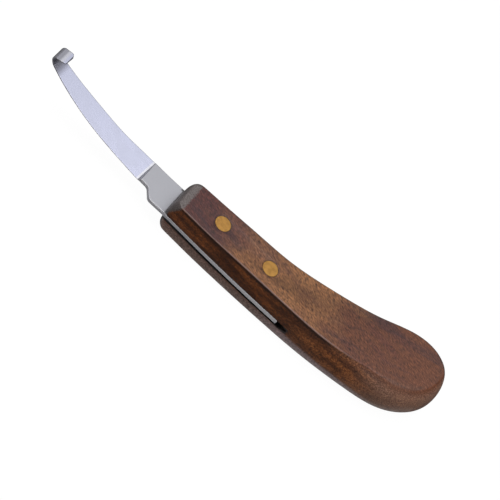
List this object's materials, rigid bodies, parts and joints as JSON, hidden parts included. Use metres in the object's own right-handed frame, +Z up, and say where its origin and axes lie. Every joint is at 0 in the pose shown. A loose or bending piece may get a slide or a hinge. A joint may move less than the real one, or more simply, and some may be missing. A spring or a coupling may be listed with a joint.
{
  "type": "farrier's hoof knife",
  "caption": "Farrier's hoof knife: a narrow bowed steel blade with its tip curled into a scoop, riveted in a slotted, curved hardwood handle.",
  "frame": {"origin": "middle of the whole knife's bounding box, on the plane of the handle's underside", "axes": "+X along the knife, from the curled tip to the handle's butt; +Y across it, from the handle's straight side to the side that its butt swings towards; +Z up, from the underside to the face that the curl points out of"},
  "size_m": [0.2166, 0.0432, 0.0294],
  "materials": {
    "handle_wood": "varnished reddish brown hardwood with fine open pores",
    "blade_steel": "bright ground blade, matt grey ricasso and tang",
    "rivet_brass": "dressed flush, finely scratched"
  },
  "bodies": {
    "root": {"handle": "handle_wood", "blade": "blade_steel", "front_rivet": "rivet_brass", "rear_rivet": "rivet_brass"}
  },
  "joints": []
}
